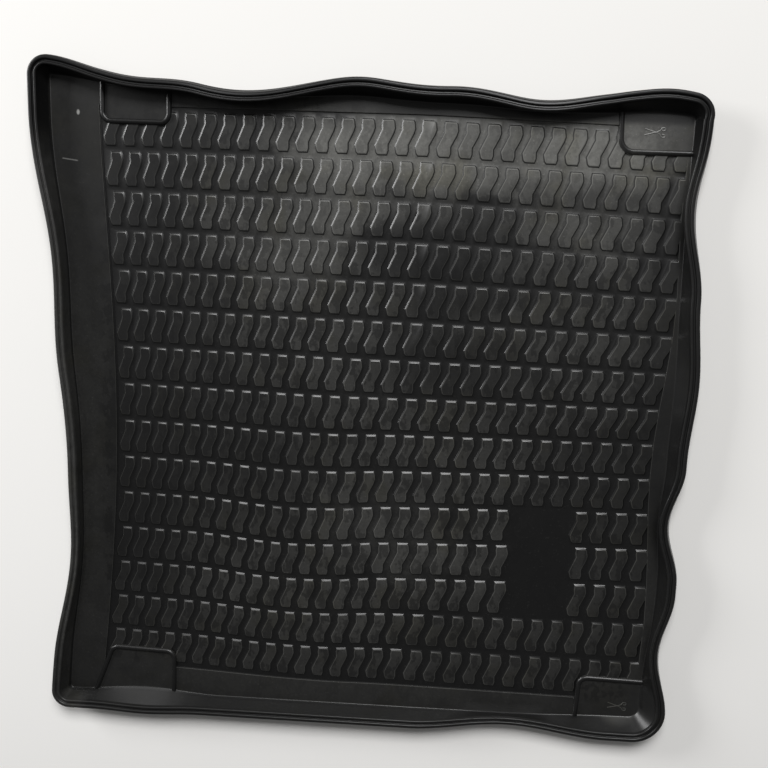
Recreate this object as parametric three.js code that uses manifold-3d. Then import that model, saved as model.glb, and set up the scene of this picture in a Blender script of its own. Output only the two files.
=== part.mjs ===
// Moulded boot liner: a flat rubber tray with a wavy two-bead rim, a recessed panel of leaning tread
// bars, four outlined corner pads and a bare plate. One piece. Millimetres, Z up, sill side at -X.
import * as THREE from 'three';
import { mergeVertices } from 'three/addons/utils/BufferGeometryUtils.js';
import Module from 'manifold-3d';

const wasm = await Module();
wasm.setup();

// sheet
const SHEET_TOP = 4;
const RECESS_DEPTH = 2;

// tread: a grid of bent bars that lean to the right at the top
const PITCH_X = 30;
const PITCH_Y = 60;
const COLUMNS = 29;
const ROWS = 15;
const BAR_HALF_TALL = 26;
const BAR_TOP_LEFT = -3;
const BAR_TOP_RIGHT = 10.5;
const BAR_SIDE_OUT = 14.8;
const BAR_SIDE_UP = 12;
const TREAD_X = (COLUMNS * PITCH_X) / 2;
const TREAD_Y = ((ROWS - 1) * PITCH_Y) / 2 + BAR_HALF_TALL;

// the recess round the tread: past the first and last rows, past the sill side's column, and short of
// the far side's column, whose bars run into the border
const RECESS_PAST_ROWS = 8;
const RECESS_PAST_SILL = 4;
const RECESS_SHORT_FAR = 9;
const RECESS_STEPS = 7;

// the plate where the tread is left out
const PLATE = { firstColumn: 23, lastColumn: 25, firstRow: 11, lastRow: 13 };

// how far the wall's foot lies past the tread at each corner, and its corner radius
const BORDER = {
  topLeft: { x: 85, y: 51, radius: 5 },
  topRight: { x: 5, y: 14, radius: 6 },
  bottomRight: { x: 23, y: 28, radius: 28 },
  bottomLeft: { x: 71, y: 62, radius: 5 },
};
const CORNER_STEPS = 4;
const STATION_GAP = 58;

// section of the rim, out from the wall's foot and up: wall, inner bead, groove, outer bead, lip's end,
// and back under the lip and down the outside
const WALL_TOP_OUT = 8.4;
const WALL_TOP_Z = 25.5;
const WALL_THICKNESS = 2.6;
const RIM_HEIGHT = 30;
const LIP_WIDTH = 16.1;
const LIP_DROP = 7;
const BEAD_OUT = 2.6;
const GROOVE_OUT = 6.4;
const GROOVE_DEPTH = 2.6;
const OUTER_BEAD_OUT = 11.6;
const LIP_OUT = WALL_TOP_OUT + LIP_WIDTH;
const SECTION = [
  [0, SHEET_TOP],
  [WALL_TOP_OUT, WALL_TOP_Z],
  [WALL_TOP_OUT + BEAD_OUT, RIM_HEIGHT],
  [WALL_TOP_OUT + GROOVE_OUT, RIM_HEIGHT - GROOVE_DEPTH],
  [WALL_TOP_OUT + OUTER_BEAD_OUT, RIM_HEIGHT - 0.2],
  [LIP_OUT, RIM_HEIGHT - LIP_DROP],
  [WALL_TOP_OUT + WALL_THICKNESS + 0.6, RIM_HEIGHT - LIP_DROP + 0.8],
  [WALL_THICKNESS, 0],
];

// how the soft rim has moved: place along the side, reach each way, inward at the lip, inward at the
// foot, and how far the lip's outer edge has sunk
const TOP_WAVES = [
  { at: -400, reach: 120, lip: 20, foot: 9, sink: 2 },
  { at: -225, reach: 210, lip: 34, foot: 13, sink: 4 },
  { at: 60, reach: 130, lip: 8, foot: 3, sink: 1 },
  { at: 220, reach: 130, lip: 18, foot: 5, sink: 3 },
  { at: 400, reach: 90, lip: -10, foot: -4, sink: 0 },
];
const RIGHT_WAVES = [
  { at: 460, reach: 80, lip: 4, foot: 0, sink: 0 },
  { at: 330, reach: 130, lip: 19, foot: 1, sink: 3 },
  { at: 80, reach: 120, lip: -8, foot: -2, sink: 0 },
  { at: -140, reach: 90, lip: 19, foot: 5, sink: 4 },
  { at: -350, reach: 100, lip: 18, foot: 3, sink: 4 },
];
const BOTTOM_WAVES = [
  { at: -365, reach: 95, lip: -4, foot: 0, sink: 0 },
  { at: 235, reach: 160, lip: 15, foot: 0, sink: 3 },
];
const LEFT_WAVES = [
  { at: -110, reach: 480, lip: 44, foot: 34, sink: 0 },
  { at: 240, reach: 200, lip: 19, foot: 13, sink: 1 },
  { at: -280, reach: 160, lip: 9, foot: 5, sink: 3 },
];

// how the soft sheet has drawn out of shape: its columns lean, the sill side is drawn in, the far side is
// pushed out except where it is pinched, the low far corner most, and the rows are lifted or have sagged
const LEAN = { by: 0.012, shift: -9 };
const DRAW_IN = { by: 30, at: -80, reach: 520, fadesAt: -60, power: 1.3, spread: 0.6 };
const PUSH_OUT = { by: 15, from: 60, power: 0.7, pinch: 0.75, at: -55, reach: 240 };
const CORNER_PUSH = { by: 12, from: 150, reach: 300, power: 1.5 };
const LOW_LIFT = { by: 26, from: -30, power: 0.8, at: -240, reach: 420 };
const MIDDLE_SAG = { by: 8, atX: -130, reachX: 170, atY: -230, reachY: 330 };
const HIGH_SAG = { by: 11, at: 370, reach: 300 };

// corner pads: which corner, and the bead's line from wall to wall, each point measured from the
// tread's corner, inward along x and outward along y
const BEAD_WIDTH = 8;
const BEAD_TOP = 7.5;
const BEAD_SUNK = 0.6;
const BEAD_CROWN = 0.65;
const BEAD_INTO_WALL = 1.2;
const PADS = [
  { x: -1, y: 1, line: [[-2, 59], [-2, -3], [10, -15], [90, -15], [102, -3], [102, 54]] },
  { x: 1, y: 1, line: [[99, 34], [96, -16], [90, -29], [77, -35], [-11, -35]] },
  { x: -1, y: -1, line: [[-28, 74], [2, -9], [13, -20], [101, -20], [113, -8], [113, 68]] },
  { x: 1, y: -1, line: [[90, 44], [88, -24], [78, -37], [-37, -39]] },
];

// how far cutting bodies run past what they cut
const CUT_PAST = 3;
const PAST_WALL = 90;

const clamp01 = (value) => Math.min(1, Math.max(0, value));
const vector = ([x, y]) => new THREE.Vector2(x, y);

function hump(value, at, reach) {
  const t = Math.abs(value - at) / reach;
  return t < 1 ? 0.5 + 0.5 * Math.cos(Math.PI * t) : 0;
}

// where a point of the flat pattern lies in the drawn sheet
function drawn(x, y) {
  const left = clamp01((DRAW_IN.fadesAt - x) / (DRAW_IN.fadesAt + TREAD_X)) ** DRAW_IN.power;
  const right = clamp01((x - PUSH_OUT.from) / (TREAD_X - PUSH_OUT.from));
  const low = clamp01((-y - CORNER_PUSH.from) / CORNER_PUSH.reach) ** CORNER_PUSH.power;
  const rise = clamp01((x - LOW_LIFT.from) / (TREAD_X - LOW_LIFT.from)) ** LOW_LIFT.power;
  const pinched = 1 - PUSH_OUT.pinch * hump(y, PUSH_OUT.at, PUSH_OUT.reach);
  const drawnIn = DRAW_IN.by * left * hump(y, DRAW_IN.at, DRAW_IN.reach) ** DRAW_IN.spread;
  const pushed = PUSH_OUT.by * right ** PUSH_OUT.power * pinched + CORNER_PUSH.by * right * low;
  const lifted = LOW_LIFT.by * rise * hump(y, LOW_LIFT.at, LOW_LIFT.reach);
  const middle = hump(x, MIDDLE_SAG.atX, MIDDLE_SAG.reachX) * hump(y, MIDDLE_SAG.atY, MIDDLE_SAG.reachY);
  const sagged = MIDDLE_SAG.by * middle + HIGH_SAG.by * right * hump(y, HIGH_SAG.at, HIGH_SAG.reach);
  return [x + LEAN.shift + LEAN.by * y + drawnIn + pushed, y + lifted - sagged];
}

// closed shapes from outlines

function solid(geometry) {
  geometry.deleteAttribute('normal');
  geometry.deleteAttribute('uv');
  const merged = mergeVertices(geometry, 1e-4);
  return new wasm.Manifold(new wasm.Mesh({
    numProp: 3,
    vertProperties: Float32Array.from(merged.attributes.position.array),
    triVerts: Uint32Array.from(merged.index.array),
  }));
}

function prism(outlines, bottom, top) {
  const shapes = outlines.map((points) => new THREE.Shape(points.map(vector)));
  const geometry = new THREE.ExtrudeGeometry(shapes, { depth: top - bottom, bevelEnabled: false, steps: 1 });
  geometry.translate(0, 0, bottom);
  return solid(geometry);
}

function closed(positions, faces) {
  const geometry = new THREE.BufferGeometry();
  geometry.setAttribute('position', new THREE.Float32BufferAttribute(positions, 3));
  geometry.setIndex(faces);
  return solid(geometry);
}

// rim and sheet in one loft

function moved(waves, along) {
  const total = { lip: 0, foot: 0, sink: 0 };
  for (const wave of waves) {
    const share = hump(along, wave.at, wave.reach);
    total.lip += wave.lip * share;
    total.foot += wave.foot * share;
    total.sink += wave.sink * share;
  }
  return total;
}

function footCorner(border, signX, signY) {
  const at = new THREE.Vector2(signX * (TREAD_X + border.x), signY * (TREAD_Y + border.y));
  return { at, radius: border.radius };
}

function mixed(a, b, share) {
  return {
    lip: a.lip * (1 - share) + b.lip * share,
    foot: a.foot * (1 - share) + b.foot * share,
    sink: a.sink * (1 - share) + b.sink * share,
  };
}

// stations round the foot of the wall, against the clock from the high sill-side corner
function stations() {
  const corners = [
    footCorner(BORDER.topLeft, -1, 1),
    footCorner(BORDER.bottomLeft, -1, -1),
    footCorner(BORDER.bottomRight, 1, -1),
    footCorner(BORDER.topRight, 1, 1),
  ];
  const sides = [
    (p) => moved(LEFT_WAVES, p.y),
    (p) => moved(BOTTOM_WAVES, p.x),
    (p) => moved(RIGHT_WAVES, p.y),
    (p) => moved(TOP_WAVES, p.x),
  ];
  const direction = corners.map((c, i) => corners[(i + 1) % 4].at.clone().sub(c.at).normalize());
  const outward = direction.map((d) => new THREE.Vector2(d.y, -d.x));
  const ring = [];
  corners.forEach(({ at, radius }, i) => {
    const last = (i + 3) % 4;
    const next = corners[(i + 1) % 4];
    const inset = radius / (1 + outward[last].dot(outward[i]));
    const centre = at.clone().addScaledVector(outward[last].clone().add(outward[i]), -inset);
    const from = Math.atan2(outward[last].y, outward[last].x);
    const to = Math.atan2(outward[i].y, outward[i].x);
    const turn = to < from ? to - from + 2 * Math.PI : to - from;
    for (let k = 0; k <= CORNER_STEPS; k += 1) {
      const share = k / CORNER_STEPS;
      const normal = new THREE.Vector2(Math.cos(from + turn * share), Math.sin(from + turn * share));
      const point = centre.clone().addScaledVector(normal, radius);
      ring.push({ point, normal, ...mixed(sides[last](point), sides[i](point), share) });
    }
    const begin = at.clone().addScaledVector(direction[i], radius);
    const end = next.at.clone().addScaledVector(direction[i], -next.radius);
    const count = Math.round(begin.distanceTo(end) / STATION_GAP);
    for (let k = 1; k < count; k += 1) {
      const point = begin.clone().lerp(end, k / count);
      ring.push({ point, normal: outward[i], ...sides[i](point) });
    }
  });
  return ring;
}

function sectionPoint(station, out, up) {
  const rise = clamp01((up - SHEET_TOP) / (WALL_TOP_Z - SHEET_TOP));
  const inward = station.foot + (station.lip - station.foot) * rise;
  const sunk = station.sink * clamp01((out - WALL_TOP_OUT) / LIP_WIDTH);
  const p = station.point.clone().addScaledVector(station.normal, out - inward);
  return [p.x, p.y, up > 0 ? up - sunk : 0];
}

function trayBody(ring) {
  const count = SECTION.length;
  const points = ring.flatMap((station) => SECTION.map(([out, up]) => sectionPoint(station, out, up)));
  const faces = [];
  for (let i = 0; i < ring.length; i += 1) {
    const next = (i + 1) % ring.length;
    for (let k = 0; k + 1 < count; k += 1) {
      const a = i * count + k;
      const b = next * count + k;
      faces.push(a, a + 1, b, b, a + 1, b + 1);
    }
  }
  const sheet = (k) => THREE.ShapeUtils.triangulateShape(ring.map((_, i) => vector(points[i * count + k])), []);
  const low = count - 1;
  for (const [a, b, c] of sheet(0)) faces.push(a * count, b * count, c * count);
  for (const [a, b, c] of sheet(low)) faces.push(a * count + low, c * count + low, b * count + low);
  return closed(points.flat(), faces);
}

// tread

function barOutline(column, row) {
  const x = (column - (COLUMNS + 1) / 2) * PITCH_X;
  const y = ((ROWS + 1) / 2 - row) * PITCH_Y;
  const half = [
    [BAR_TOP_LEFT, BAR_HALF_TALL],
    [-BAR_SIDE_OUT, -BAR_SIDE_UP],
    [-BAR_TOP_RIGHT, -BAR_HALF_TALL],
  ];
  const outline = [...half, ...half.map(([px, py]) => [-px, -py])];
  return outline.map(([px, py]) => drawn(x + px, y + py));
}

function onPlate(column, row) {
  return column >= PLATE.firstColumn && column <= PLATE.lastColumn
    && row >= PLATE.firstRow && row <= PLATE.lastRow;
}

function barOutlines() {
  const outlines = [];
  for (let row = 1; row <= ROWS; row += 1) {
    for (let column = 1; column <= COLUMNS; column += 1) {
      if (!onPlate(column, row)) outlines.push(barOutline(column, row));
    }
  }
  return outlines;
}

function recessOutline() {
  const left = -TREAD_X - RECESS_PAST_SILL;
  const right = TREAD_X - RECESS_SHORT_FAR;
  const top = TREAD_Y + RECESS_PAST_ROWS;
  const corners = [[left, top], [left, -top], [right, -top], [right, top]];
  return corners.flatMap(([x, y], i) => {
    const [nextX, nextY] = corners[(i + 1) % 4];
    return Array.from({ length: RECESS_STEPS }, (_, k) => {
      const share = k / RECESS_STEPS;
      return drawn(x + (nextX - x) * share, y + (nextY - y) * share);
    });
  });
}

// corner pads

function padLine(pad) {
  return pad.line.map(([px, py]) => [pad.x * (TREAD_X - px), pad.y * (TREAD_Y + py)]);
}

// the pad's whole area, closed behind the wall
function padOutline(pad) {
  const line = padLine(pad);
  const [firstX] = line[0];
  const [lastX, lastY] = line[line.length - 1];
  const farX = pad.x * (TREAD_X + PAST_WALL);
  const farY = pad.y * (TREAD_Y + PAST_WALL);
  const endsAtSide = Math.abs(lastX) > TREAD_X;
  const behind = endsAtSide ? [[farX, lastY], [farX, farY]] : [[lastX, farY]];
  const outline = [...line, ...behind, [firstX, farY]];
  return THREE.ShapeUtils.area(outline.map(vector)) < 0 ? outline.reverse() : outline;
}

function beadBody(pad) {
  const points = padLine(pad).map(vector);
  const beside = (sign) => points.map((p, i) => {
    const before = points[Math.max(i - 1, 0)];
    const after = points[Math.min(i + 1, points.length - 1)];
    const along = p.equals(before) ? after.clone().sub(p) : p.clone().sub(before);
    const onward = p.equals(after) ? along.clone() : after.clone().sub(p);
    along.normalize();
    onward.normalize();
    const across = new THREE.Vector2(-along.y - onward.y, along.x + onward.x);
    return p.clone().addScaledVector(across, (sign * BEAD_WIDTH) / 2 / (1 + along.dot(onward)));
  });
  const left = beside(1);
  const right = beside(-1);
  const bottom = SHEET_TOP - RECESS_DEPTH - BEAD_SUNK;
  const corners = points.flatMap((p, i) => {
    const innerRight = p.clone().lerp(right[i], BEAD_CROWN);
    const innerLeft = p.clone().lerp(left[i], BEAD_CROWN);
    return [
      [left[i].x, left[i].y, bottom],
      [right[i].x, right[i].y, bottom],
      [innerRight.x, innerRight.y, BEAD_TOP],
      [innerLeft.x, innerLeft.y, BEAD_TOP],
    ];
  });
  const faces = [0, 1, 2, 0, 2, 3];
  for (let i = 0; i + 1 < points.length; i += 1) {
    for (let k = 0; k < 4; k += 1) {
      const a = i * 4 + k;
      const b = i * 4 + ((k + 1) % 4);
      faces.push(a, a + 4, b, b, a + 4, b + 4);
    }
  }
  const end = (points.length - 1) * 4;
  faces.push(end, end + 2, end + 1, end, end + 3, end + 2);
  return closed(corners.flat(), faces);
}

// the liner

function linerBody() {
  const ring = stations();
  const cutTop = SHEET_TOP + CUT_PAST;
  let recess = prism([recessOutline()], SHEET_TOP - RECESS_DEPTH, cutTop);
  recess = recess.subtract(prism(barOutlines(), 0, cutTop + CUT_PAST));
  for (const pad of PADS) recess = recess.subtract(prism([padOutline(pad)], 0, cutTop + CUT_PAST));

  const insideWall = ring.map(({ point, normal, foot }) => (
    point.clone().addScaledVector(normal, BEAD_INTO_WALL - foot).toArray()
  ));
  const inside = prism([insideWall], 0, BEAD_TOP + CUT_PAST);
  let tray = trayBody(ring).subtract(recess);
  for (const pad of PADS) tray = tray.add(beadBody(pad).intersect(inside));

  // the origin stands under the middle of the whole outline
  const { min, max } = tray.boundingBox();
  return tray.translate([-(min[0] + max[0]) / 2, -(min[1] + max[1]) / 2, -min[2]]);
}

function toMesh(body, name) {
  const { vertProperties, triVerts } = body.getMesh();
  const geometry = new THREE.BufferGeometry();
  geometry.setAttribute('position', new THREE.Float32BufferAttribute(vertProperties, 3));
  geometry.setIndex(Array.from(triVerts));
  geometry.computeVertexNormals();
  const mesh = new THREE.Mesh(geometry, new THREE.MeshStandardMaterial({ color: 0x151515, roughness: 0.6 }));
  mesh.name = name;
  return mesh;
}

const group = new THREE.Group();
group.name = 'boot_liner_part';
group.add(toMesh(linerBody(), 'boot_liner'));

export default group;
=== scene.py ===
# Moulded boot liner: a flat rubber tray with a wavy two-bead rim, a recessed panel of leaning tread
# bars, four outlined corner pads and a bare plate. It lies on a pale floor and is seen from above.
# Sizes are in millimetres where no other unit is given, and x runs away from the plain sill border.
import math
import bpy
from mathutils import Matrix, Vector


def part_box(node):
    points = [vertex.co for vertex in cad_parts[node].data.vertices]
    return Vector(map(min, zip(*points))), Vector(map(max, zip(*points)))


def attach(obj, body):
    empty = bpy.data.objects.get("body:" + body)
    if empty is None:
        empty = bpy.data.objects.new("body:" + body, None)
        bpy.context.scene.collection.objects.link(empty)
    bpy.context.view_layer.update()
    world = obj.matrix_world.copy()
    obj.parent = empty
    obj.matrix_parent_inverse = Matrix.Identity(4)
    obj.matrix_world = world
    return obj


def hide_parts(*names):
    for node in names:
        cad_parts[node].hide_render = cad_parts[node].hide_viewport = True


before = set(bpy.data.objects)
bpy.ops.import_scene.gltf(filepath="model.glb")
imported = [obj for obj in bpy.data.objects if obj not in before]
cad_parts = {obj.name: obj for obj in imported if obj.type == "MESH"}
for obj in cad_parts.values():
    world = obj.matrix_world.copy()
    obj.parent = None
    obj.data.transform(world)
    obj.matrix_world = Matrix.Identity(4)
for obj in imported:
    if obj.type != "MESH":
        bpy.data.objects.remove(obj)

from types import SimpleNamespace

import bmesh
import bpy
from mathutils import Matrix, Vector

MM = 0.001

SHEET_TOP = 4
RECESS_DEPTH = 2
RECESS_FLOOR = SHEET_TOP - RECESS_DEPTH
CUT_PAST = 3

# tread: a grid of bent bars that lean to the right at the top
PITCH_X = 30
PITCH_Y = 60
COLUMNS = 29
ROWS = 15
BAR_HALF_TALL = 26
BAR_OUTLINE = [
    (-3.8, 25.6),
    (11.2, 25.6),
    (13.2, 23.2),
    (14.8, 13.5),
    (12.9, 6.5),
    (5.2, -10),
    (5.6, -19),
    (3.8, -25),
    (-9.4, -25),
    (-12.0, -22.2),
    (-14.2, -12.5),
    (-4.0, 11.5),
    (-4.8, 18.5),
]
TREAD_X = COLUMNS * PITCH_X / 2
TREAD_Y = (ROWS - 1) * PITCH_Y / 2 + BAR_HALF_TALL

# side of a bar, from inside the sheet to its top: outward from the outline, and up
BAR_SIDE = [(1.8, 1.0), (1.8, 1.9), (1.2, 2.08), (-1.1, 3.75), (-1.8, SHEET_TOP)]

# the recess round the tread, which draws in at both ends of its far side, and the plate where the
# tread is left out
RECESS_PAST_ROWS = 8
RECESS_PAST_SILL = 4
RECESS_SHORT_FAR = 2.5
RECESS_HIGH_END = SimpleNamespace(by=8, start=190, reach=130)
RECESS_LOW_END = SimpleNamespace(by=5, start=330, reach=80)
RECESS_ROUNDING = 0.8
ROUNDING_SEGMENTS = 2
PLATE_COLUMNS = (23, 25)
PLATE_ROWS = (11, 13)

# how the soft sheet has drawn out of shape: its columns lean, the sill side is drawn in, the far side
# is pushed out except where it is pinched, the low far corner most, and the rows are lifted or sag
LEAN = SimpleNamespace(by=0.012, shift=-9)
DRAW_IN = SimpleNamespace(by=30, at=-80, reach=520, fades_at=-60, power=1.3, spread=0.6)
PUSH_OUT = SimpleNamespace(by=15, start=60, power=0.7, pinch=0.75, at=-55, reach=240)
CORNER_PUSH = SimpleNamespace(by=12, start=150, reach=300, power=1.5)
LOW_LIFT = SimpleNamespace(by=26, start=-30, power=0.8, at=-240, reach=420)
MIDDLE_SAG = SimpleNamespace(by=8, at_x=-130, reach_x=170, at_y=-230, reach_y=330)
HIGH_SAG = SimpleNamespace(by=11, at=370, reach=300)

# the wall's foot at each corner, going against the clock, and its corner radius
FOOT_CORNERS = [
    (-TREAD_X - 85, TREAD_Y + 51, 6),
    (-TREAD_X - 71, -TREAD_Y - 62, 7),
    (TREAD_X + 23, -TREAD_Y - 28, 28),
    (TREAD_X + 5, TREAD_Y + 14, 6),
]
CORNER_STEPS = 12
STATION_GAP = 7

# section of the rim: out from the wall's foot, up, and how round that corner is
WALL_TOP_OUT = 8.4
WALL_TOP_Z = 25.5
LIP_WIDTH = 16.1
SECTION = [
    (-2.4, 4, 0),
    (0, 4, 3.2),
    (8.2, 25.2, 1.2),
    (9.2, 30.2, 1.9),
    (12.9, 30.4, 1.9),
    (13.9, 27.4, 0.9),
    (16.2, 27.2, 0.9),
    (17.4, 30.1, 2.2),
    (22.8, 29.9, 3.0),
    (24.7, 22.6, 0.8),
    (22.9, 22.4, 0.6),
    (11.8, 23.8, 1.6),
    (2.8, 0, 0.8),
    (1.0, 0, 0),
]

# how the soft rim has moved: place along the side, reach each way, inward at the lip, inward at the
# foot, and how far the lip's outer edge has sunk
LEFT_WAVES = [(-110, 480, 44, 34, 0), (240, 200, 19, 13, 1), (-280, 160, 9, 5, 3)]
BOTTOM_WAVES = [(-365, 95, -4, 0, 0), (-370, 130, 0, 9, 0), (235, 160, 15, 0, 3), (430, 200, 0, 6, 0)]
RIGHT_WAVES = [
    (460, 80, 4, 0, 0),
    (330, 130, 19, 1, 3),
    (80, 120, -8, -2, 0),
    (-140, 90, 19, 5, 4),
    (-350, 100, 18, 3, 4),
    (-450, 150, 0, 13, 0),
]
TOP_WAVES = [
    (-400, 120, 20, 9, 2),
    (-225, 210, 34, 13, 4),
    (60, 130, 8, 3, 1),
    (220, 130, 18, 5, 3),
    (400, 90, -10, -4, 0),
]

# corner pads: which corner, and the bead's line from wall to wall, each point measured from the
# tread's corner, inward along x and outward along y, with its rounding
PADS = [
    (-1, 1, [(-2, 59, 0), (-2, -15, 13), (102, -15, 13), (102, 54, 0)]),
    (1, 1, [(99, 34, 0), (95, -35, 19), (-11, -35, 0)]),
    (-1, -1, [(-28, 74, 0), (7, -20, 14), (113, -20, 13), (113, 68, 0)]),
    (1, -1, [(90, 44, 0), (87, -38, 14), (-37, -39, 0)]),
]
PAD_PAST_WALL = 90
BEAD_WIDTH = 8
BEAD_TOP = 7.5
BEAD_BOTTOM = 1.2
BEAD_INTO_WALL = 1.2
BEAD_ARC_STEP = 18

# cutting marks on the two far pads: the middle of each, and its strokes from blade tips to handles
MARKS = [(386, 439), (411, -452)]
MARK_STROKES = [
    [(-15, 5, 0), (3, -0.5, 8), (7.5, -3.2, 0)],
    [(-15, -4, 0), (3, 0.8, 8), (7.5, 3.4, 0)],
    [(7, -3, 0), (9.5, -6.8, 2.5), (14.5, -6.4, 2.5), (14, -2.6, 2), (9.4, -2.6, 0)],
    [(7, 3.2, 0), (9.5, 6.8, 2.5), (14.5, 6.4, 2.5), (14, 2.6, 2), (9.4, 2.8, 0)],
]
MARK_WIDTH = 1.8
MARK_TOP = 4.7
MARK_BOTTOM = 3.2
MARK_ARC_STEP = 45
MARK_TURN_STEP = 30

# degrees for each step of a rounded corner, and how much of each side its rounding may take
TURN_STEP = 15
TANGENT_SHARE = 0.48

# how near a level an edge of the recess lies, how much its faces' slopes differ, and the widest angle
# in degrees that is shaded smooth
LEVEL_NEARNESS = 0.02
CREASE = 0.7
SMOOTH_ANGLE = 19


def clamp01(value):
    return min(1.0, max(0.0, value))


def hump(value, at, reach):
    share = abs(value - at) / reach
    return 0.5 + 0.5 * math.cos(math.pi * share) if share < 1 else 0.0


def drawn(x, y):
    """Where a point of the flat pattern lies in the drawn sheet."""
    left = clamp01((DRAW_IN.fades_at - x) / (DRAW_IN.fades_at + TREAD_X)) ** DRAW_IN.power
    right = clamp01((x - PUSH_OUT.start) / (TREAD_X - PUSH_OUT.start))
    low = clamp01((-y - CORNER_PUSH.start) / CORNER_PUSH.reach) ** CORNER_PUSH.power
    rise = clamp01((x - LOW_LIFT.start) / (TREAD_X - LOW_LIFT.start)) ** LOW_LIFT.power
    pinched = 1 - PUSH_OUT.pinch * hump(y, PUSH_OUT.at, PUSH_OUT.reach)
    drawn_in = DRAW_IN.by * left * hump(y, DRAW_IN.at, DRAW_IN.reach) ** DRAW_IN.spread
    pushed = PUSH_OUT.by * right**PUSH_OUT.power * pinched + CORNER_PUSH.by * right * low
    lifted = LOW_LIFT.by * rise * hump(y, LOW_LIFT.at, LOW_LIFT.reach)
    middle = hump(x, MIDDLE_SAG.at_x, MIDDLE_SAG.reach_x) * hump(y, MIDDLE_SAG.at_y, MIDDLE_SAG.reach_y)
    sagged = MIDDLE_SAG.by * middle + HIGH_SAG.by * right * hump(y, HIGH_SAG.at, HIGH_SAG.reach)
    return x + LEAN.shift + LEAN.by * y + drawn_in + pushed, y + lifted - sagged


def rounded(corners, turn_step=TURN_STEP):
    """A line through corners of (x, y, radius), with each corner turned in short steps."""
    points = [Vector(corners[0][:2])]
    for before, (x, y, radius), after in zip(corners, corners[1:], corners[2:]):
        here = Vector((x, y))
        back = Vector(before[:2]) - here
        ahead = Vector(after[:2]) - here
        opening = back.angle(ahead)
        room = TANGENT_SHARE * min(back.length, ahead.length)
        tangent = min(radius / math.tan(opening / 2), room)
        start = here + back.normalized() * tangent
        end = here + ahead.normalized() * tangent
        middle = (back.normalized() + ahead.normalized()).normalized()
        centre = here + middle * (tangent / math.cos(opening / 2))
        steps = max(2, round(math.degrees(math.pi - opening) / turn_step))
        reach = (start - centre).length
        for k in range(steps + 1):
            aim = (start - centre).lerp(end - centre, k / steps)
            points.append(centre + aim.normalized() * reach)
    points.append(Vector(corners[-1][:2]))
    return points


def activate(body):
    bpy.ops.object.select_all(action="DESELECT")
    body.select_set(True)
    bpy.context.view_layer.objects.active = body


def open_edit(body, kind="VERT", action="SELECT"):
    activate(body)
    bpy.ops.object.mode_set(mode="EDIT")
    bpy.ops.mesh.select_mode(type=kind)
    bpy.ops.mesh.select_all(action=action)
    return bmesh.from_edit_mesh(body.data)


def close_edit(outward=False):
    if outward:
        bpy.ops.mesh.select_all(action="SELECT")
        bpy.ops.mesh.normals_make_consistent(inside=False)
    bpy.ops.object.mode_set(mode="OBJECT")


def ring_body(name, points):
    """A filled ring of vertices through points in millimetres."""
    bpy.ops.object.select_all(action="DESELECT")
    bpy.ops.mesh.primitive_circle_add(vertices=len(points), radius=1, fill_type="NGON")
    body = bpy.context.object
    body.name = name
    body.data.name = name
    for vertex, point in zip(body.data.vertices, points):
        vertex.co = Vector(point) * MM
    return body


def lofted(name, rings):
    """A closed body whose first ring is extruded from ring to ring."""
    body = ring_body(name, rings[0])
    open_edit(body)
    for ring in rings[1:]:
        bpy.ops.mesh.extrude_region_move()
        mesh = bmesh.from_edit_mesh(body.data)
        new = sorted((v for v in mesh.verts if v.select), key=lambda v: v.index)
        for vertex, place in zip(new, ring):
            vertex.co = Vector(place) * MM
    close_edit(outward=True)
    return body


def prism(name, outline, bottom, top):
    return lofted(name, [[(x, y, z) for x, y in outline] for z in (bottom, top)])


def merged(name, bodies):
    activate(bodies[0])
    for body in bodies:
        body.select_set(True)
    bpy.ops.object.join()
    bodies[0].name = name
    return bodies[0]


def combine(body, other, operation):
    modifier = body.modifiers.new("combined", "BOOLEAN")
    modifier.operation = operation
    modifier.solver = "MANIFOLD"
    modifier.object = other
    activate(body)
    bpy.ops.object.modifier_apply(modifier=modifier.name)
    bpy.data.objects.remove(other)


# rim and sheet


def moved(waves, along):
    """How far the rim has moved at a place along a side: at the lip, at the foot, and down."""
    total = [0.0, 0.0, 0.0]
    for at, reach, *amounts in waves:
        share = hump(along, at, reach)
        total = [t + amount * share for t, amount in zip(total, amounts)]
    return total


def stations():
    """Places round the foot of the wall: point, outward direction, and how the rim has moved there."""
    sides = [
        lambda p: moved(LEFT_WAVES, p.y),
        lambda p: moved(BOTTOM_WAVES, p.x),
        lambda p: moved(RIGHT_WAVES, p.y),
        lambda p: moved(TOP_WAVES, p.x),
    ]
    at = [Vector(corner[:2]) for corner in FOOT_CORNERS]
    along = [(at[(i + 1) % 4] - at[i]).normalized() for i in range(4)]
    outward = [Vector((d.y, -d.x)) for d in along]
    ring = []
    for i, (_, _, radius) in enumerate(FOOT_CORNERS):
        last = (i + 3) % 4
        inset = radius / (1 + outward[last].dot(outward[i]))
        centre = at[i] - (outward[last] + outward[i]) * inset
        start = math.atan2(outward[last].y, outward[last].x)
        end = math.atan2(outward[i].y, outward[i].x)
        turn = (end - start) % (2 * math.pi)
        for k in range(CORNER_STEPS + 1):
            share = k / CORNER_STEPS
            angle = start + turn * share
            normal = Vector((math.cos(angle), math.sin(angle)))
            point = centre + normal * radius
            before, after = sides[last](point), sides[i](point)
            ring.append((point, normal, [a + (b - a) * share for a, b in zip(before, after)]))
        begin = at[i] + along[i] * radius
        finish = at[(i + 1) % 4] - along[i] * FOOT_CORNERS[(i + 1) % 4][2]
        count = round((finish - begin).length / STATION_GAP)
        for k in range(1, count):
            point = begin.lerp(finish, k / count)
            ring.append((point, outward[i], sides[i](point)))
    return ring


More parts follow.
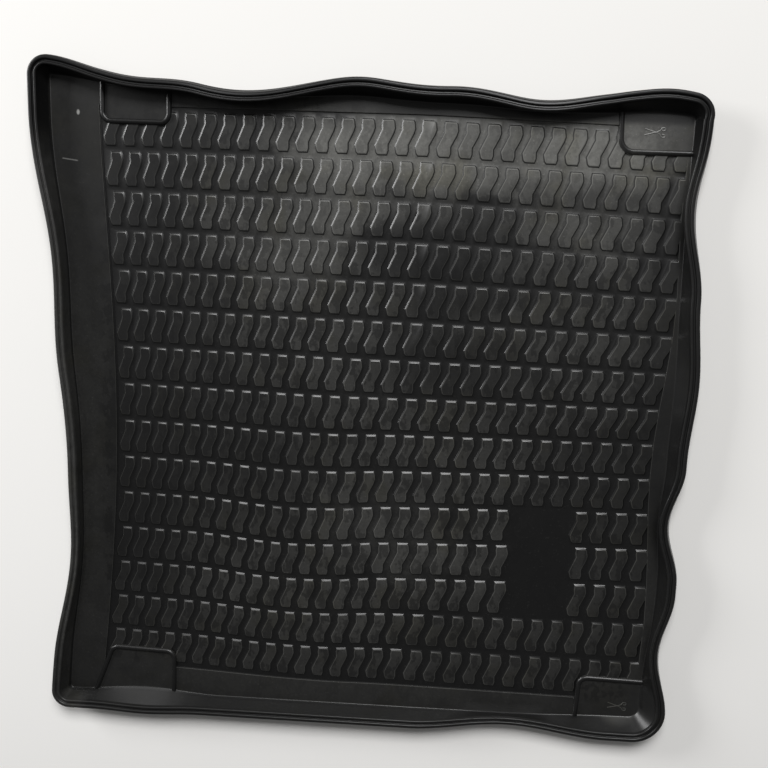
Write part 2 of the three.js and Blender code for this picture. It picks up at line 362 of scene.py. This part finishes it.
def rim_point(station, out, up):
    """Where a point of the rim's section lies at a station."""
    point, normal, (lip, foot, sink) = station
    rise = clamp01((up - SHEET_TOP) / (WALL_TOP_Z - SHEET_TOP))
    inward = foot + (lip - foot) * rise
    sunk = sink * clamp01((out - WALL_TOP_OUT) / LIP_WIDTH) if up > 0 else 0
    place = point + normal * (out - inward)
    return place.x, place.y, max(up - sunk, 0)


def tray_body(ring):
    """The sheet and its rim: the section drawn out edge by edge, and the underside closed."""
    section = rounded(SECTION)
    body = ring_body("liner_moulding", [rim_point(s, *section[0]) for s in ring])
    station = dict(enumerate(ring))
    open_edit(body, "EDGE", "DESELECT")
    bpy.ops.mesh.select_non_manifold()
    for out, up in section[1:]:
        bpy.ops.mesh.extrude_edges_move()
        mesh = bmesh.from_edit_mesh(body.data)
        for vertex in mesh.verts:
            if vertex.select:
                others = (edge.other_vert(vertex) for edge in vertex.link_edges)
                old = next(other for other in others if not other.select)
                station[vertex.index] = station[old.index]
                vertex.co = Vector(rim_point(station[vertex.index], out, up)) * MM
    bpy.ops.mesh.edge_face_add()
    close_edit(outward=True)
    return body


# tread


def bar_centre(column, row):
    return (column - (COLUMNS + 1) / 2) * PITCH_X, ((ROWS + 1) / 2 - row) * PITCH_Y


def on_plate(column, row):
    return PLATE_COLUMNS[0] <= column <= PLATE_COLUMNS[1] and PLATE_ROWS[0] <= row <= PLATE_ROWS[1]


def outset(outline, by):
    """A closed outline, which runs with the clock, moved outward all round."""
    result = []
    for before, here, after in zip(outline[-1:] + outline, outline, outline[1:] + outline[:1]):
        into = (Vector(here) - Vector(before)).normalized()
        onward = (Vector(after) - Vector(here)).normalized()
        across = Vector((-into.y - onward.y, into.x + onward.x)) / (1 + into.dot(onward))
        result.append(Vector(here) + across * by)
    return result


def bars_body():
    rings = [[(x, y, z) for x, y in outset(BAR_OUTLINE, by)] for by, z in BAR_SIDE]
    first = lofted("bar", rings)
    bars = []
    for row in range(1, ROWS + 1):
        for column in range(1, COLUMNS + 1):
            if on_plate(column, row):
                continue
            x, y = bar_centre(column, row)
            bar = first.copy()
            bar.data = first.data.copy()
            for vertex in bar.data.vertices:
                px, py = drawn(x + vertex.co.x / MM, y + vertex.co.y / MM)
                vertex.co.x = px * MM
                vertex.co.y = py * MM
            bpy.context.collection.objects.link(bar)
            bars.append(bar)
    bpy.data.objects.remove(first)
    return merged("bars", bars)


def recess_far_side(y):
    """Where the recess ends at the far side; it keeps away from the wall near both corners."""
    high = RECESS_HIGH_END.by * clamp01((y - RECESS_HIGH_END.start) / RECESS_HIGH_END.reach)
    low = RECESS_LOW_END.by * clamp01((-y - RECESS_LOW_END.start) / RECESS_LOW_END.reach)
    return TREAD_X - RECESS_SHORT_FAR - high - low


def recess_body():
    """The space over the tread, from a grid with a cell for each bar."""
    left = -TREAD_X - RECESS_PAST_SILL
    right = recess_far_side(0)
    top = TREAD_Y + RECESS_PAST_ROWS
    xs = [left] + [bar_centre(c, 1)[0] + PITCH_X / 2 for c in range(1, COLUMNS)] + [right]
    ys = [-top] + [bar_centre(1, r)[1] + PITCH_Y / 2 for r in range(ROWS, 1, -1)] + [top]
    bpy.ops.object.select_all(action="DESELECT")
    bpy.ops.mesh.primitive_grid_add(x_subdivisions=COLUMNS, y_subdivisions=ROWS, size=1)
    body = bpy.context.object
    for i, vertex in enumerate(body.data.vertices):
        x, y = xs[i % len(xs)], ys[i // len(xs)]
        x, y = drawn(recess_far_side(y) if x == right else x, y)
        vertex.co = Vector((x, y, RECESS_FLOOR)) * MM
    open_edit(body)
    lift = (0, 0, (RECESS_DEPTH + CUT_PAST) * MM)
    bpy.ops.mesh.extrude_region_move(TRANSFORM_OT_translate={"value": lift})
    close_edit(outward=True)
    return body


# corner pads


def pad_line(pad):
    side_x, side_y, line = pad
    return rounded([(side_x * (TREAD_X - x), side_y * (TREAD_Y + y), r) for x, y, r in line])


def pad_outline(pad):
    """The pad's line, closed behind the wall."""
    side_x, side_y, _ = pad
    line = pad_line(pad)
    far_x = side_x * (TREAD_X + PAD_PAST_WALL)
    far_y = side_y * (TREAD_Y + PAD_PAST_WALL)
    if abs(line[-1].x) > TREAD_X:
        behind = [(far_x, line[-1].y), (far_x, far_y)]
    else:
        behind = [(line[-1].x, far_y)]
    return [tuple(p) for p in line] + behind + [(line[0].x, far_y)]


def ridge(name, line, width, bottom, top, arc_step):
    """A rounded ridge along a line, made of one section drawn on from point to point."""
    half = width / 2
    arc = [math.radians(a) for a in range(0, 181, arc_step)]
    section = [(half, bottom)]
    section += [(half * math.cos(a), SHEET_TOP + (top - SHEET_TOP) * math.sin(a)) for a in arc]
    section += [(-half, bottom)]

    def placed(i):
        before = (line[i] - line[i - 1]).normalized() if i else (line[1] - line[0]).normalized()
        after = (line[i + 1] - line[i]).normalized() if i + 1 < len(line) else before
        across = Vector((-before.y - after.y, before.x + after.x)) / (1 + before.dot(after))
        return [(line[i].x + across.x * s, line[i].y + across.y * s, z) for s, z in section]

    return lofted(name, [placed(i) for i in range(len(line))])


def bead_body(pad):
    return ridge("pad_bead", pad_line(pad), BEAD_WIDTH, BEAD_BOTTOM, BEAD_TOP, BEAD_ARC_STEP)


def mark_body(middle):
    """Scissors in raised strokes."""
    mark = None
    for stroke in MARK_STROKES:
        line = rounded([(middle[0] + x, middle[1] + y, r) for x, y, r in stroke], MARK_TURN_STEP)
        body = ridge("mark", line, MARK_WIDTH, MARK_BOTTOM, MARK_TOP, MARK_ARC_STEP)
        if mark is None:
            mark = body
        else:
            combine(mark, body, "UNION")
    return mark


# the liner


def at_level(edge, level):
    return all(abs(vertex.co.z - level * MM) < LEVEL_NEARNESS * MM for vertex in edge.verts)


def round_recess(body):
    """Rounds the upper and lower edges of the recess."""
    mesh = open_edit(body, "EDGE", "DESELECT")
    for edge in mesh.edges:
        if at_level(edge, SHEET_TOP) or at_level(edge, RECESS_FLOOR):
            a, b = (abs(face.normal.z) for face in edge.link_faces)
            edge.select = abs(a - b) > CREASE
    mesh.select_flush_mode()
    bmesh.update_edit_mesh(body.data)
    rounding = RECESS_ROUNDING * MM
    bpy.ops.mesh.bevel(offset=rounding, segments=ROUNDING_SEGMENTS, profile=0.5, clamp_overlap=False)
    close_edit()


def liner_body():
    """The sheet and rim less the recess, with the bars, the pads' beads and the marks joined on."""
    ring = stations()
    tray = tray_body(ring)
    recess = recess_body()
    for pad in PADS:
        combine(recess, prism("pad", pad_outline(pad), 0, SHEET_TOP + 2 * CUT_PAST), "DIFFERENCE")
    combine(tray, recess, "DIFFERENCE")
    round_recess(tray)
    inside = [tuple(point + normal * (BEAD_INTO_WALL - moves[1])) for point, normal, moves in ring]
    beads = merged("beads", [bead_body(pad) for pad in PADS])
    combine(beads, bars_body(), "UNION")
    combine(beads, prism("inside", inside, 0, BEAD_TOP + CUT_PAST), "INTERSECT")
    combine(tray, beads, "UNION")
    for middle in MARKS:
        combine(tray, mark_body(middle), "UNION")
    return tray


def centred(body):
    """Moves the mesh so that its outline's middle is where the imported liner's is."""
    low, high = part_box("boot_liner")
    xs = [v.co.x for v in body.data.vertices]
    ys = [v.co.y for v in body.data.vertices]
    shift_x = (low.x + high.x - min(xs) - max(xs)) / 2
    shift_y = (low.y + high.y - min(ys) - max(ys)) / 2
    shift = Vector((shift_x, shift_y, 0))
    body.data.transform(Matrix.Translation(shift))
    return shift


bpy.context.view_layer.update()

liner = liner_body()
shift = centred(liner)
activate(liner)
bpy.ops.object.shade_smooth_by_angle(angle=math.radians(SMOOTH_ANGLE))

# materials

# values of a line's fade: how far past its ends it starts, how far in it is full, and its full core
END_PAST = 0.5
END_INTO = 2.0
LINE_CORE = 0.3

# how a noise's offset is laid along x, y and z
OFFSET_ALONG = (1, 1.7, 0.3)


def new_node(tree, kind, settings, sockets):
    """A node whose settings are made first, and then the values and links of its sockets."""
    made = tree.nodes.new(kind)
    for name, value in settings.items():
        setattr(made, name, value)
    for name, value in sockets.items():
        if isinstance(value, Field):
            tree.links.new(value.socket, made.inputs[name])
        else:
            made.inputs[name].default_value = value
    return made


class Field:
    """A value or colour in a material, so that patterns are written as sums and products."""

    def __init__(self, tree, socket):
        self.tree = tree
        self.socket = socket

    def node(self, kind, settings, sockets, output=0):
        return Field(self.tree, new_node(self.tree, kind, settings, sockets).outputs[output])

    def maths(self, operation, first, second=0.0):
        return self.node("ShaderNodeMath", {"operation": operation}, {0: first, 1: second})

    def __add__(self, other):
        return self.maths("ADD", self, other)

    def __radd__(self, other):
        return self.maths("ADD", other, self)

    def __sub__(self, other):
        return self.maths("SUBTRACT", self, other)

    def __rsub__(self, other):
        return self.maths("SUBTRACT", other, self)

    def __mul__(self, other):
        return self.maths("MULTIPLY", self, other)

    def __rmul__(self, other):
        return self.maths("MULTIPLY", other, self)

    def __truediv__(self, other):
        return self.maths("DIVIDE", self, other)

    def most(self, other):
        return self.maths("MAXIMUM", self, other)

    def least(self, other):
        return self.maths("MINIMUM", self, other)

    def size(self):
        return self.maths("ABSOLUTE", self)

    def step(self, start, end):
        """0 at start and 1 at end, smoothly; start may be the larger."""
        sockets = {"Value": self, "From Min": start, "From Max": end}
        return self.node("ShaderNodeMapRange", {"interpolation_type": "SMOOTHSTEP"}, sockets)

    def between(self, rise, fall):
        """1 between two smooth steps."""
        return self.step(*rise) * self.step(*fall)

    def blend(self, first, second):
        """The first colour or value where this is 0, and the second where it is 1."""
        if isinstance(first, tuple) or isinstance(second, tuple):
            return self.node("ShaderNodeMix", {"data_type": "RGBA"}, {0: self, 6: first, 7: second}, 2)
        return self.node("ShaderNodeMix", {"data_type": "FLOAT"}, {0: self, 2: first, 3: second})

    def feed(self, shader, name):
        self.tree.links.new(self.socket, shader.inputs[name])


class Pattern:
    """Object coordinates of a piece in millimetres, and noises on them."""

    def __init__(self, tree):
        start = Field(tree, new_node(tree, "ShaderNodeTexCoord", {}, {}).outputs["Object"])
        scaled = {"operation": "SCALE"}
        self.place = start.node("ShaderNodeVectorMath", scaled, {0: start, "Scale": 1 / MM})
        split = new_node(tree, "ShaderNodeSeparateXYZ", {}, {0: self.place})
        self.x, self.y, self.z = (Field(tree, socket) for socket in split.outputs)

    def noise(self, size, detail, rough, stretch=(1, 1, 1), offset=0.0):
        """Noise from 0 to 1 whose lumps are about this many millimetres across."""
        across = tuple(1 / (size * s) for s in stretch)
        sockets = {0: self.place, 1: across, 2: tuple(offset * s for s in OFFSET_ALONG)}
        laid = self.place.node("ShaderNodeVectorMath", {"operation": "MULTIPLY_ADD"}, sockets)
        sockets = {"Vector": laid, "Scale": 1.0, "Detail": detail, "Roughness": rough}
        return self.place.node("ShaderNodeTexNoise", {}, sockets)

    def patch(self, at, reach, wander=None):
        """1 at a place, fading to 0 at reach; wander is what moves the place's edge."""
        dx = (self.x - at[0]) / reach[0]
        dy = (self.y - at[1]) / reach[1]
        away = dx * dx + dy * dy
        if wander is not None:
            away = away + wander
        return away.step(1.0, 0.0)

    def line(self, start, end, width):
        """1 on a straight line between two places, fading to 0 at its width."""
        a, b = Vector(start), Vector(end)
        length = (b - a).length
        along = (b - a).normalized()
        dx, dy = self.x - a.x, self.y - a.y
        share = dx * along.x + dy * along.y
        off = (dx * along.y - dy * along.x).size()
        inside = share.between((-END_PAST, END_INTO), (length + END_PAST, length - END_INTO))
        return off.step(width, width * LINE_CORE) * inside


# colours of the clean rubber, of the dry film on it, which also stands for a painted sheen, of the film
# where it is olive, and of the marks
CLEAN_RUBBER = (0.0032, 0.0032, 0.0033, 1)
DUST_AND_SHEEN = (0.135, 0.134, 0.126, 1)
OLIVE_DUST = (0.124, 0.121, 0.104, 1)
PALE_MARK = (0.26, 0.26, 0.25, 1)

# noises: across the whole liner, on each bar, in the stains, in the film, in its olive parts, and in
# the rubber's own grain
CLOUD = dict(size=130, detail=3.0, rough=0.55)
MOTTLE = dict(size=30, detail=6.0, rough=0.68, offset=3.1)
STAIN = dict(size=17, detail=4.0, rough=0.6, stretch=(1, 1.5, 1), offset=7.7)
GRIT = dict(size=5.0, detail=4.0, rough=0.75, offset=1.3)
SPECK = dict(size=3.4, detail=1.0, rough=0.5, offset=9.2)
OLIVE = dict(size=60, detail=2.0, rough=0.5, offset=5.5)
FINE_GRAIN = dict(size=0.9, detail=2.0, rough=0.6, offset=2.2)
COARSE_GRAIN = dict(size=3.5, detail=2.0, rough=0.6, offset=4.4)

# parts of the surface, by the heights at which they start and end: each pair goes from none to full
GROOVE_FADE = (3.0, 2.1)
SLOPE_FADES = (2.03, 2.2), (3.5, 3.2)
EDGE_FADES = (3.3, 3.75), (4.0, 3.93)
WALL_FADE = (4.9, 9.0)
BEAD_FADES = (4.15, 4.7), (10.0, 8.5)
MARK_FADE = (4.15, 4.5)

# parts of the surface, by where they start and end along x or y
HIGH_SIDE_FADE = (350.0, 440.0)
LOW_SIDE_FADE = (-440.0, -470.0)
SILL_SIDE_FADE = (-425.0, -455.0)
TREAD_X_FADES = (-415.0, -405.0), (455.0, 445.0)
TREAD_Y_FADE = (-447.0, -437.0)
VERGE_X_FADE = (-80.0, 60.0)
VERGE_Y_FADE = (452.0, 462.0)
HIGH_MARK = dict(at=(417, 444), reach=(40, 30))
LOW_MARK = dict(at=(442, -447), reach=(40, 30))
LOW_MARK_SHARE = 0.5

# the film's depth from 0 to 1: at least, how it follows the clouds, and where it counts as thick, mostly
# where it paints the sheen
FILM_LEAST = 0.066
FILM_CLOUD = 0.05
THICK_FADE = (0.15, 0.45)

# how far the clouds and the mottle move the edges of the patches
WANDER_CLOUD = 1.1
WANDER_MOTTLE = 0.8

# how the film is broken up by the mottle, the stains, the grit and the specks
MOTTLE_LEAST = 0.35
MOTTLE_SHARE = 1.3
STAIN_FADE = (0.5, 0.44)
STAIN_ANYWHERE = 0.15
STAIN_ON_TREAD = 0.4
STAIN_WHERE_THICK = 0.34
GRIT_LEAST = 0.5
SPECK_FADE = (0.66, 0.74)
SPECK_PALE = 0.04
SPECK_FILM = 0.4
OLIVE_FADE = (0.5, 0.68)

# how much of the film is left in the grooves, and how much is gone or added on other parts: the grooves,
# the bars' sides, the verge by the high-side wall and the beads lose film as painted shade, the sill
# wall gains it as painted light, and the edges gain it as wear and painted highlight
GROOVE_LEFT_THIN = 0.06
GROOVE_LEFT_THICK = 0.9
SLOPE_PAINTED_SHADE = 0.85
WALL_GONE = 0.5
SILL_WALL_PAINTED_LIGHT = 3.0
VERGE_PAINTED_SHADOW = 0.9
BEAD_PAINTED_SHADE = 0.65
EDGE_WEAR_AND_HIGHLIGHT = 0.17
EDGE_DUST_AND_HIGHLIGHT = 0.5
MARK_WORN = 0.6

# the roughness and the gloss, and what the film takes from them
BASE_ROUGHNESS = 0.5
DUST_ROUGHNESS = 0.4
GRIT_ROUGHNESS = 0.06
DUST_DULLS = 0.7
HIGH_SIDE_DULLS = 0.55
LOW_SIDE_DULLS = 0.3
RUBBER_SOCKETS = {"Coat Roughness": 0.34, "Coat IOR": 1.5, "Specular IOR Level": 0.06}

# the rubber's grain
FINE_SHARE = 0.6
COARSE_SHARE = 0.4
GRAIN_STRENGTH = 0.14
GRAIN_DEPTH = 0.4

# the pale fleck and the short scratch on the sill border
FLECK = dict(at=(-444, 448), reach=(3.2, 5.0))
SCRATCH = dict(start=(-471, 379), end=(-445, 376), width=1.4)
SCRATCH_SHARE = 0.4

# where the film lies thickest, partly dust and partly a painted sheen, strongest near the high side:
# place, reach, and how thick
FILM_AND_SHEEN_PATCHES = [
    ((150, 420), (330, 85), 0.52),
    ((50, 375), (200, 110), 0.26),
    ((400, 425), (115, 75), 0.3),
    ((340, 350), (190, 120), 0.24),
    ((-120, 330), (180, 180), 0.2),
    ((-70, 170), (190, 220), 0.14),
    ((330, 170), (220, 190), 0.12),
    ((110, -110), (240, 210), 0.14),
    ((-20, -250), (330, 170), 0.08),
    ((-460, 420), (80, 160), 0.04),
    ((-450, -120), (75, 420), 0.05),
    ((-10, -370), (430, 170), 0.06),
    ((340, -300), (200, 200), 0.05),
]
# where the film, and the painted sheen in it, is thinner: place, reach, and how far
THIN_FILM_PATCHES = [
    ((85, 262), (120, 60), 0.75),
    ((170, 205), (130, 50), 0.55),
    ((180, 90), (150, 70), 0.45),
    ((-300, 395), (120, 60), 0.4),
    ((-340, 0), (85, 560), 0.7),
    ((-430, 400), (110, 130), 0.4),
    ((465, 120), (60, 330), 0.5),
]


def fix_sockets(shader, values):
    for name, value in values.items():
        shader.inputs[name].default_value = value


def rubber_material():
    rubber = bpy.data.materials.new("liner_rubber")
    rubber.use_nodes = True
    tree = rubber.node_tree
    shader = tree.nodes["Principled BSDF"]
    p = Pattern(tree)

    # parts of the surface
    groove = p.z.step(*GROOVE_FADE)
    slope = p.z.between(*SLOPE_FADES)
    edge = p.z.between(*EDGE_FADES)
    wall = p.z.step(*WALL_FADE)
    high_side = wall * p.y.step(*HIGH_SIDE_FADE)
    low_side = wall * p.y.step(*LOW_SIDE_FADE)
    bead = p.z.between(*BEAD_FADES)
    sill_side = wall * p.x.step(*SILL_SIDE_FADE)
    on_tread = p.x.between(*TREAD_X_FADES) * p.y.step(*TREAD_Y_FADE)
    verge = p.y.step(*VERGE_Y_FADE) * p.x.step(*VERGE_X_FADE)
    mark = p.z.step(*MARK_FADE) * p.patch(**HIGH_MARK).most(p.patch(**LOW_MARK) * LOW_MARK_SHARE)

    cloud = p.noise(**CLOUD)
    mottle = p.noise(**MOTTLE)
    stain = p.noise(**STAIN)
    grit = p.noise(**GRIT)
    speck = p.noise(**SPECK)
    wander = (cloud - 0.5) * WANDER_CLOUD + (mottle - 0.5) * WANDER_MOTTLE

    # the film: dust with painted sheen, painted shade and painted light worked into it, and the paler
    # edges, partly wear and partly painted highlight
    film_with_painted_light = FILM_LEAST + (cloud - 0.5) * FILM_CLOUD
    # these patches paint a sheen as well as dust
    for at, reach, amount in FILM_AND_SHEEN_PATCHES:
        film_with_painted_light = film_with_painted_light + p.patch(at, reach, wander) * amount
    # thinner film, and less painted sheen, in these patches
    for at, reach, amount in THIN_FILM_PATCHES:
        film_with_painted_light = film_with_painted_light * (1 - p.patch(at, reach, wander) * amount)
    film_with_painted_light = film_with_painted_light.most(0.0)
    heavy_film_and_sheen = film_with_painted_light.step(*THICK_FADE)
    film_with_painted_light = film_with_painted_light * (MOTTLE_LEAST + mottle * MOTTLE_SHARE)
    stained = STAIN_ANYWHERE + on_tread * (STAIN_ON_TREAD - heavy_film_and_sheen * STAIN_WHERE_THICK)
    film_with_painted_light = film_with_painted_light * (1 - stain.step(*STAIN_FADE) * stained)
    # painted shade in the grooves between the bars: outside the sheen they keep little film, so they
    # show darker than the bar tops
    film_with_painted_light = film_with_painted_light * groove.blend(1.0, heavy_film_and_sheen.blend(GROOVE_LEFT_THIN, GROOVE_LEFT_THICK))
    # painted shade: the bars' sloping sides lose most of their film, which draws dark outlines round the
    # bars
    film_with_painted_light = film_with_painted_light * (GRIT_LEAST + grit) * (1 - slope * SLOPE_PAINTED_SHADE)
    # painted shade and light on the walls: the high-side wall, which faces away from the key lamp, loses
    # all its film, and the sill-side wall gains film, a painted light that lightens it
    film_with_painted_light = film_with_painted_light * (1 - wall * WALL_GONE) * (1 + sill_side * SILL_WALL_PAINTED_LIGHT) * (1 - high_side)
    # painted shadow and shade: the strip inside the high-side wall, where the wall's shadow falls, and
    # the pads' beads, so that their outlines show dark, lose most of their film
    dust_with_painted_light = film_with_painted_light * (1 - verge * VERGE_PAINTED_SHADOW) * (1 - bead * BEAD_PAINTED_SHADE)
    # the bars' top edges are lightened all round: partly wear, partly a painted highlight for their
    # bright edge lines
    film_with_painted_light = dust_with_painted_light + edge * (EDGE_WEAR_AND_HIGHLIGHT + dust_with_painted_light * EDGE_DUST_AND_HIGHLIGHT)
    film_with_painted_light = film_with_painted_light + speck.step(*SPECK_FADE) * (SPECK_PALE + film_with_painted_light * SPECK_FILM)
    film_with_painted_light = (film_with_painted_light + mark * MARK_WORN).least(1.0)

    # the film's colour, which also paints the sheen
    dust_and_sheen_colour = p.noise(**OLIVE).step(*OLIVE_FADE).blend(DUST_AND_SHEEN, OLIVE_DUST)
    scuffs = p.patch(**FLECK).most(p.line(**SCRATCH) * SCRATCH_SHARE)
    scuffs.blend(film_with_painted_light.blend(CLEAN_RUBBER, dust_and_sheen_colour), PALE_MARK).feed(shader, "Base Color")

    rough = BASE_ROUGHNESS + dust_with_painted_light * DUST_ROUGHNESS + (grit - 0.5) * GRIT_ROUGHNESS
    gloss = 1 - dust_with_painted_light * DUST_DULLS - high_side * HIGH_SIDE_DULLS - low_side * LOW_SIDE_DULLS - edge * dust_with_painted_light
    rough.feed(shader, "Roughness")
    gloss.most(0.0).feed(shader, "Coat Weight")
    fix_sockets(shader, RUBBER_SOCKETS)

    grain = p.noise(**FINE_GRAIN) * FINE_SHARE + p.noise(**COARSE_GRAIN) * COARSE_SHARE
    sockets = {"Height": grain, "Strength": GRAIN_STRENGTH, "Distance": GRAIN_DEPTH * MM}
    grain.node("ShaderNodeBump", {}, sockets).feed(shader, "Normal")
    return rubber


liner.data.materials.clear()
liner.data.materials.append(rubber_material())

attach(liner, "root")
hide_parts("boot_liner")

# floor: its size in metres, where its shade changes along y, and its colour at each end
FLOOR_SIZE = 14
FLOOR_FADE = (900.0, -900.0)
FLOOR_HIGH_COLOUR = (0.74, 0.73, 0.71, 1)
FLOOR_LOW_COLOUR = (0.93, 0.92, 0.9, 1)
FLOOR_SOCKETS = {"Roughness": 0.9, "Specular IOR Level": 0.1}


def floor_material():
    paint = bpy.data.materials.new("floor")
    paint.use_nodes = True
    shader = paint.node_tree.nodes["Principled BSDF"]
    shade = Pattern(paint.node_tree).y.step(*FLOOR_FADE)
    shade.blend(FLOOR_HIGH_COLOUR, FLOOR_LOW_COLOUR).feed(shader, "Base Color")
    fix_sockets(shader, FLOOR_SOCKETS)
    return paint


bpy.ops.object.select_all(action="DESELECT")
bpy.ops.mesh.primitive_plane_add(size=FLOOR_SIZE)
floor = bpy.context.object
floor.name = "floor"
floor.data.materials.append(floor_material())

# light, with the lamps' places and sizes in metres
WORLD_STRENGTH = 0.11
KEY = dict(place=(0.4, 2.9, 3.0), width=2.4, depth=1.6, power=178)
SIDE_FILL = dict(place=(-3.2, 1.54, 1.22), width=1.54, depth=1.02, power=96)

world = bpy.data.worlds.new("soft room")
bpy.context.scene.world = world
world.use_nodes = True
fix_sockets(world.node_tree.nodes["Background"], {"Color": (1, 1, 1, 1), "Strength": WORLD_STRENGTH})


def lamp(name, place, width, depth, power):
    """A flat lamp that faces the middle of the liner."""
    data = bpy.data.lights.new(name, "AREA")
    data.shape = "RECTANGLE"
    data.size = width
    data.size_y = depth
    data.energy = power
    body = bpy.data.objects.new(name, data)
    bpy.context.collection.objects.link(body)
    body.location = place
    body.rotation_euler = (-Vector(place)).to_track_quat("-Z", "Y").to_euler()


lamp("key", **KEY)
lamp("side fill", **SIDE_FILL)

# camera: where it is, where it looks, and which way is up in the picture
LENS = 37.5
SENSOR_WIDTH = 36
CAMERA_AT = (116, 247, 1227)
CAMERA_LOOK = (-0.0841, -0.1584, -0.9838)
CAMERA_UP = (-0.0588, 0.9861, -0.1557)

camera_data = bpy.data.cameras.new("camera")
camera_data.lens = LENS
camera_data.sensor_width = SENSOR_WIDTH
camera = bpy.data.objects.new("camera", camera_data)
bpy.context.collection.objects.link(camera)
bpy.context.scene.camera = camera
eye = Vector(CAMERA_AT) * MM + shift
look = Vector(CAMERA_LOOK).normalized()
right = look.cross(Vector(CAMERA_UP)).normalized()
up = right.cross(look)
turned = Matrix((right, up, -look)).transposed()
camera.matrix_world = Matrix.Translation(eye) @ turned.to_4x4()

bpy.context.scene.view_settings.view_transform = "Standard"
